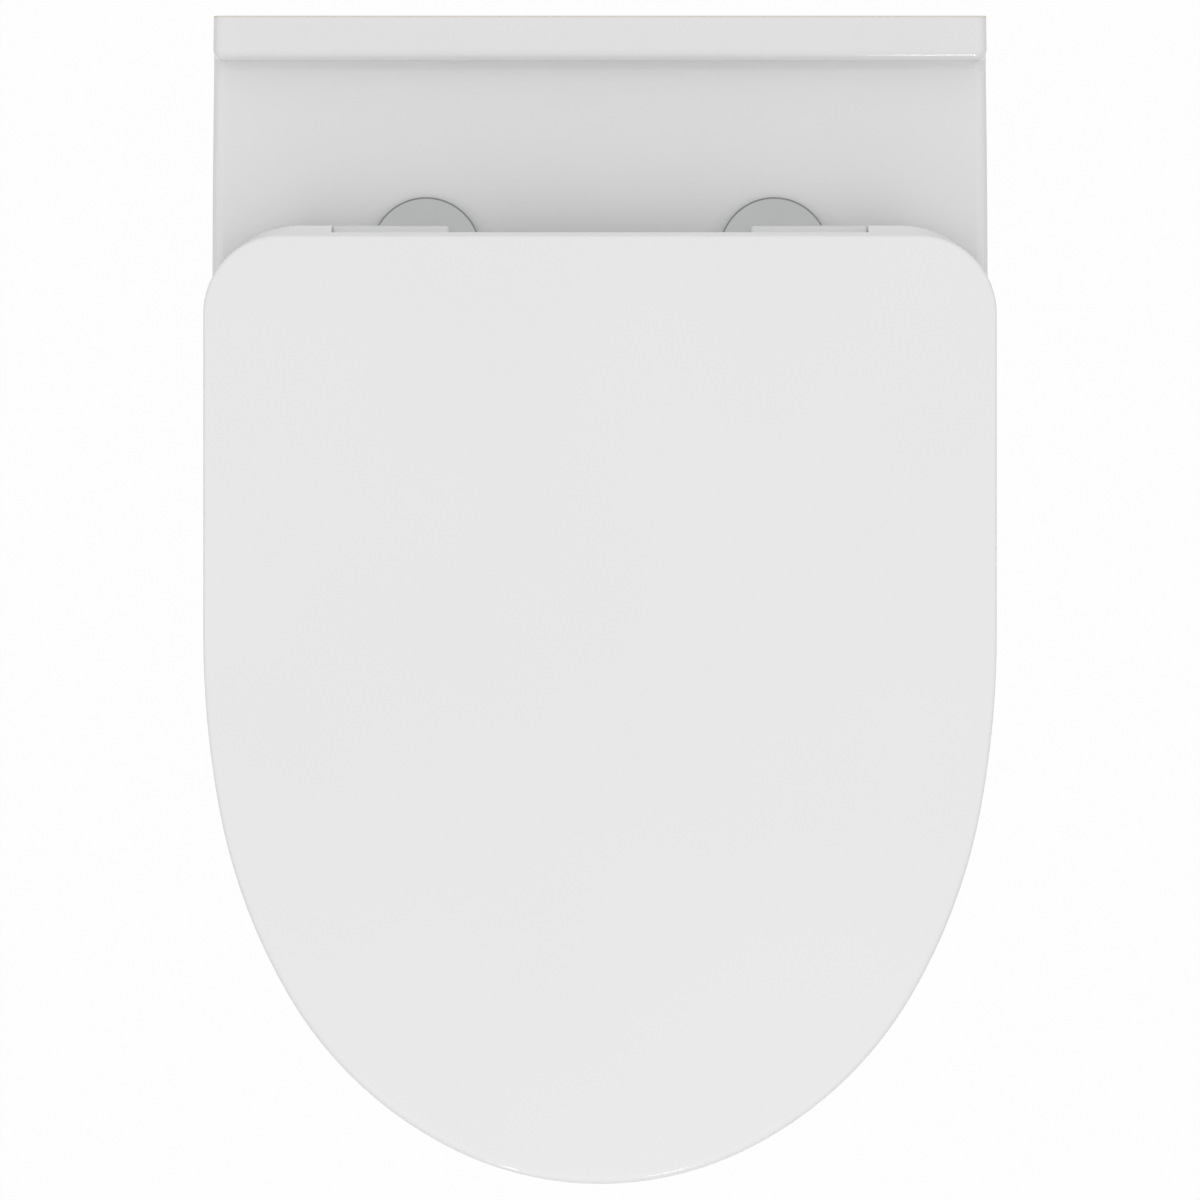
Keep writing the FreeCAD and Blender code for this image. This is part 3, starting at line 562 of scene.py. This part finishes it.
def cut(obj, tool, operation="DIFFERENCE"):
    apply_modifier(obj, "BOOLEAN", operation=operation, object=tool, solver="EXACT")
    bpy.data.objects.remove(tool)


def drill(obj, at, r, length, turn):
    """A round hole with its middle at a place; turn is the drill's rotation."""
    bpy.ops.object.select_all(action="DESELECT")
    bpy.ops.mesh.primitive_cylinder_add(vertices=48, radius=r, depth=length, location=at, rotation=turn)
    cut(obj, bpy.context.object)


def make_bracket(name, side):
    """One bracket; side is 1 for the right one and -1 for the left one."""
    low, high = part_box(name)
    inner, outer = sorted((abs(low.x), abs(high.x)))
    plate = start(bpy.ops.mesh.primitive_cube_add, size=1.0,
                  location=(side * (inner + outer) / 2, -PLATE_T / 2, (low.z + high.z) / 2),
                  scale=(outer - inner, PLATE_T, high.z - low.z))
    bpy.ops.mesh.select_all(action="SELECT")
    bpy.ops.mesh.bisect(plane_co=(side * ARM_START, 0, 0), plane_no=(1, 0, 0))
    pick("FACE", lambda face, m: m.y < -PLATE_T + SAME and abs(m.x) > ARM_START)
    bpy.ops.mesh.extrude_region_move(TRANSFORM_OT_translate={"value": (0, low.y + PLATE_T, 0)})
    bpy.ops.transform.resize(value=(1.0, 1.0, ARM_TAPER), center_override=(0, 0, 0))
    bpy.ops.mesh.select_all(action="SELECT")
    bpy.ops.mesh.bisect(plane_co=(side * (ARM_START + outer) / 2, 0, 0), plane_no=(1, 0, 0))
    pick("FACE", lambda face, m: m.y > -SAME and abs(m.x) > ARM_START)
    bpy.ops.mesh.inset(thickness=POCKET_WALL, use_individual=True)
    bpy.ops.mesh.extrude_region_move(TRANSFORM_OT_translate={"value": (0, -POCKET_DEPTH, 0)})
    for up in (1, -1):
        pick("FACE", lambda face, m: face.normal.z * up > 0.9 and m.y < -PLATE_T and abs(m.z) > ARM_FACE_Z)
        bpy.ops.mesh.inset(thickness=POCKET_WALL, use_individual=True)
        bpy.ops.mesh.extrude_region_move(TRANSFORM_OT_translate={"value": (0, 0, -up * SIDE_POCKET_DEPTH)})
    close_edit()
    drill(plate, (side * STUD_X, -PLATE_T / 2, 0), STUD_HOLE_R, 3 * PLATE_T, ALONG_Y)
    drill(plate, (side * outer, SIDE_SCREW_Y, 0), SIDE_HOLE_R, SIDE_HOLE_LENGTH, ALONG_X)
    apply_modifier(plate, "BEVEL", width=BRACKET_BEVEL, segments=2, limit_method="ANGLE",
                   angle_limit=math.radians(40))
    settle(plate, name + "_moulding", SLOT_OF[name], "pan_body", name)


make_bracket("wall_bracket_right", 1)
make_bracket("wall_bracket_left", -1)

# %% [markdown]
# ## Wall nuts
# The nuts on the wall studs are hexagons with a cone turned on both ends, which leaves a curved line on
# each flat. A bevel of the hexagon can't make that line, so a round body with bevelled rims is laid over
# it, and only what both share is kept.

# %% Wall nuts
NUT_HOLE_R = 6.1 * MM
NUT_CONE = 1.1 * MM
NUT_BEVEL = 0.2 * MM


def make_nut(name):
    centre, size = middle_of(name)
    turn = (math.pi / 2, math.pi / 6, 0)
    form = {"radius": size.x / 2, "depth": size.y, "location": centre, "rotation": turn}
    start(bpy.ops.mesh.primitive_cylinder_add, vertices=6, **form)
    nut = close_edit()
    start(bpy.ops.mesh.primitive_cylinder_add, vertices=64, **form)
    pick("EDGE", lambda edge, m: abs(abs(m.y - centre.y) - size.y / 2) < SAME)
    bpy.ops.mesh.bevel(offset=NUT_CONE, segments=1)
    cut(nut, close_edit(), "INTERSECT")
    drill(nut, centre, NUT_HOLE_R, 3 * size.y, ALONG_Y)
    apply_modifier(nut, "BEVEL", width=NUT_BEVEL, segments=2, limit_method="ANGLE",
                   angle_limit=math.radians(35))
    settle(nut, name + "_turned", SLOT_OF[name], "pan_body", name)


make_nut("wall_nut_right")
make_nut("wall_nut_left")

# %% [markdown]
# ## Screw threads
# The two hinge bolts and the two side screws need threads. A thread is one small triangle that runs round
# the shank and climbs by its pitch with each turn, which is just what the Screw modifier does. Its foot
# is sunk a little into the shank. The shank is a copy of the workshop screw, whose wall is drawn in to
# the root of the thread. The thread's depth, sink and spread are shares: of the pitch, of the depth and
# of the pitch.

# %% A thread
THREAD_DEPTH = 0.6
FOOT_SINK = 1.1
FOOT_SPREAD = 0.47


def make_thread(r, pitch, length):
    """A thread that climbs along Z from 0 to length, as wide as r."""
    start(bpy.ops.mesh.primitive_circle_add, vertices=3, fill_type="NOTHING")
    foot = r - FOOT_SINK * THREAD_DEPTH * pitch
    points = ((r, 0.5 * pitch), (foot, (0.5 + FOOT_SPREAD) * pitch), (foot, (0.5 - FOOT_SPREAD) * pitch))
    work = bmesh.from_edit_mesh(bpy.context.object.data)
    for vertex, (x, z) in zip(work.verts, points):
        vertex.co = (x, 0.0, z)
    bmesh.update_edit_mesh(bpy.context.object.data)
    coil = close_edit()
    turns = int(length / pitch) - 1
    apply_modifier(coil, "SCREW", angle=2 * math.pi, screw_offset=pitch, iterations=turns, steps=20,
                   render_steps=20, axis="Z", use_merge_vertices=False)
    bpy.ops.object.mode_set(mode="EDIT")
    pick("EDGE", lambda edge, m: edge.is_boundary)
    bpy.ops.mesh.fill_holes(sides=3)
    bpy.ops.mesh.select_all(action="SELECT")
    bpy.ops.mesh.normals_make_consistent(inside=False)
    return close_edit()


# %% [markdown]
# ## Bolts and screws
# A screw of the workshop model has its head, its tip and a plain shank. It is copied, its doubled points
# are merged, and the points on its shank between the thread's two ends are drawn in towards the axis.
# Then the thread is turned onto the axis and joined to it. A point counts as on the shank when it lies
# within WALL_BAND of its radius and not more than END_BAND past the thread.

# %% Bolts and screws
WALL_BAND = 0.05 * MM
END_BAND = 1.0 * MM
BOLT_R = 3.0 * MM
BOLT_PITCH = 1.0 * MM
BOLT_TIP = 0.6 * MM
BOLT_HEAD_H = 5.0 * MM
SIDE_SCREW_R = 4.0 * MM
SIDE_SCREW_PITCH = 1.25 * MM
SIDE_SCREW_HEAD_H = 4.5 * MM


def make_screw(node, r, pitch, along, thread_from, thread_to):
    """A copy of a screw with a thread between two places on its axis, which runs along X or Z."""
    make_active(NODES[node])
    bpy.ops.object.duplicate(linked=False)
    shank = bpy.context.object
    shank.parent = None
    bpy.ops.object.mode_set(mode="EDIT")
    bpy.ops.mesh.select_all(action="SELECT")
    bpy.ops.mesh.remove_doubles(threshold=SAME)
    centre = middle_of(node)[0]
    index = "XYZ".index(along)

    def on_wall(vertex, m):
        off = m - centre
        off[index] = 0.0
        within = thread_from - END_BAND <= m[index] <= thread_to + END_BAND
        return abs(off.length - r) < WALL_BAND and within

    count = pick("VERT", on_wall)
    root = (r - THREAD_DEPTH * pitch) / r
    scale = [root, root, root]
    scale[index] = 1.0
    bpy.ops.transform.resize(value=scale, center_override=centre)
    close_edit()
    print(node, "shank points drawn in", count)
    coil = make_thread(r, pitch, thread_to - thread_from)
    make_active(coil)
    place = centre.copy()
    place[index] = thread_from
    coil.location = place
    if along == "X":
        coil.rotation_euler = ALONG_X
    bpy.ops.object.transform_apply(location=True, rotation=True, scale=True)
    settle(join(shank, coil), node + "_threaded", SLOT_OF[node], "pan_body", node)


for side in ("left", "right"):
    low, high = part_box("hinge_bolt_" + side)
    make_screw("hinge_bolt_" + side, BOLT_R, BOLT_PITCH, "Z", low.z + BOLT_TIP, high.z - BOLT_HEAD_H)

low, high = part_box("side_screw_left")
make_screw("side_screw_left", SIDE_SCREW_R, SIDE_SCREW_PITCH, "X", low.x + SIDE_SCREW_HEAD_H, high.x)
low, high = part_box("side_screw_right")
make_screw("side_screw_right", SIDE_SCREW_R, SIDE_SCREW_PITCH, "X", low.x, high.x - SIDE_SCREW_HEAD_H)

# %% [markdown]
# ## A white floor under an even sky
# The picture is a catalogue view on white. A white floor lies where the room's floor would be, 320 mm
# under the wall studs. It shows white to the camera and keeps a part of the real light on it, so the
# shadow stays. An even sky does nearly all of the lighting, so that creases darken softly and edges only
# a little. It shows a little whiter to the camera and in reflections than the light that it gives. Light
# Path tells which kind of ray asks.

# %% Floor and sky
FLOOR_Z = -320.0 * MM
FLOOR_R = 12.0
FLOOR_PAPER = 0.2
FLOOR_GLOW = 0.985
SKY_LIGHT = 0.98
OBJECT_Y = -270.0 * MM
WATCHED = ("Is Camera Ray", "Is Glossy Ray", "Is Transmission Ray")


def watched(tree):
    """1 for rays of the camera, of gloss and of glass, else 0."""
    path = tree.nodes.new("ShaderNodeLightPath")
    total = path.outputs[WATCHED[0]]
    for name in WATCHED[1:]:
        most = tree.nodes.new("ShaderNodeMath")
        most.operation = "MAXIMUM"
        tree.links.new(total, most.inputs[0])
        tree.links.new(path.outputs[name], most.inputs[1])
        total = most.outputs[0]
    return total


def make_floor():
    bpy.ops.object.select_all(action="DESELECT")
    bpy.ops.mesh.primitive_circle_add(vertices=96, radius=FLOOR_R, fill_type="NGON",
                                      location=(0, OBJECT_Y, FLOOR_Z))
    floor = bpy.context.object
    floor.name = "floor"
    material = bpy.data.materials.new("floor_white")
    material.use_nodes = True
    tree = material.node_tree
    tree.nodes.clear()
    paper = tree.nodes.new("ShaderNodeBsdfDiffuse")
    paper.inputs[0].default_value = (*grey(FLOOR_PAPER), 1.0)
    glow = tree.nodes.new("ShaderNodeEmission")
    glow.inputs[0].default_value = (1.0, 1.0, 1.0, 1.0)
    both = tree.nodes.new("ShaderNodeMixShader")
    share = tree.nodes.new("ShaderNodeMath")
    share.operation = "MULTIPLY"
    share.inputs[1].default_value = FLOOR_GLOW
    out = tree.nodes.new("ShaderNodeOutputMaterial")
    tree.links.new(watched(tree), share.inputs[0])
    tree.links.new(share.outputs[0], both.inputs[0])
    tree.links.new(paper.outputs[0], both.inputs[1])
    tree.links.new(glow.outputs[0], both.inputs[2])
    tree.links.new(both.outputs[0], out.inputs[0])
    floor.data.materials.append(material)


def make_sky():
    world = bpy.data.worlds.new("sky")
    bpy.context.scene.world = world
    world.use_nodes = True
    tree = world.node_tree
    tree.nodes.clear()
    sky = tree.nodes.new("ShaderNodeBackground")
    strength = tree.nodes.new("ShaderNodeMapRange")
    strength.inputs["To Min"].default_value = SKY_LIGHT
    strength.inputs["To Max"].default_value = 1.0
    out = tree.nodes.new("ShaderNodeOutputWorld")
    tree.links.new(watched(tree), strength.inputs["Value"])
    sky.inputs[0].default_value = (1.0, 1.0, 1.0, 1.0)
    tree.links.new(strength.outputs[0], sky.inputs[1])
    tree.links.new(sky.outputs[0], out.inputs[0])


make_floor()
make_sky()
print("floor %.0f mm under the studs" % (-FLOOR_Z / MM))

# %% [markdown]
# ## Lamps and camera
# Two small lamps in front give the thin white lines on the rounded edges. One stands low enough for the
# lid to keep it off the hollow behind it, and the other is a tall narrow strip. The camera looks straight
# down, from far away with a long lens, because the photographed object shows nearly no perspective.

# %% Lamps and camera
CAMERA_HEIGHT = 4825.0 * MM
SENSOR = 36.0
LENS = 307.2


def make_lamp(name, place, aim, size, power):
    data = bpy.data.lights.new(name, "AREA")
    data.shape = "RECTANGLE"
    data.size, data.size_y = size
    data.energy = power
    lamp = bpy.data.objects.new(name, data)
    bpy.context.scene.collection.objects.link(lamp)
    lamp.location = place
    lamp.rotation_euler = (Vector(aim) - Vector(place)).to_track_quat("-Z", "Y").to_euler()


def make_camera():
    data = bpy.data.cameras.new("camera")
    data.sensor_width = SENSOR
    data.lens = LENS
    camera = bpy.data.objects.new("camera", data)
    bpy.context.scene.collection.objects.link(camera)
    camera.location = (0.0, OBJECT_Y, CAMERA_HEIGHT)
    bpy.context.scene.camera = camera


make_lamp("front_lamp_right", place=(0.215, -1.38, 0.635), aim=(0.04, -0.5, 0.1),
          size=(0.11, 0.05), power=0.65)
make_lamp("front_strip_left", place=(-0.361, -1.686, 0.40), aim=(-0.04, -0.53, 0.1),
          size=(0.03, 0.40), power=0.9)
make_camera()
bpy.context.scene.view_settings.view_transform = "Standard"
print("camera %.3f m above the studs, lens %.1f mm" % (CAMERA_HEIGHT, LENS))
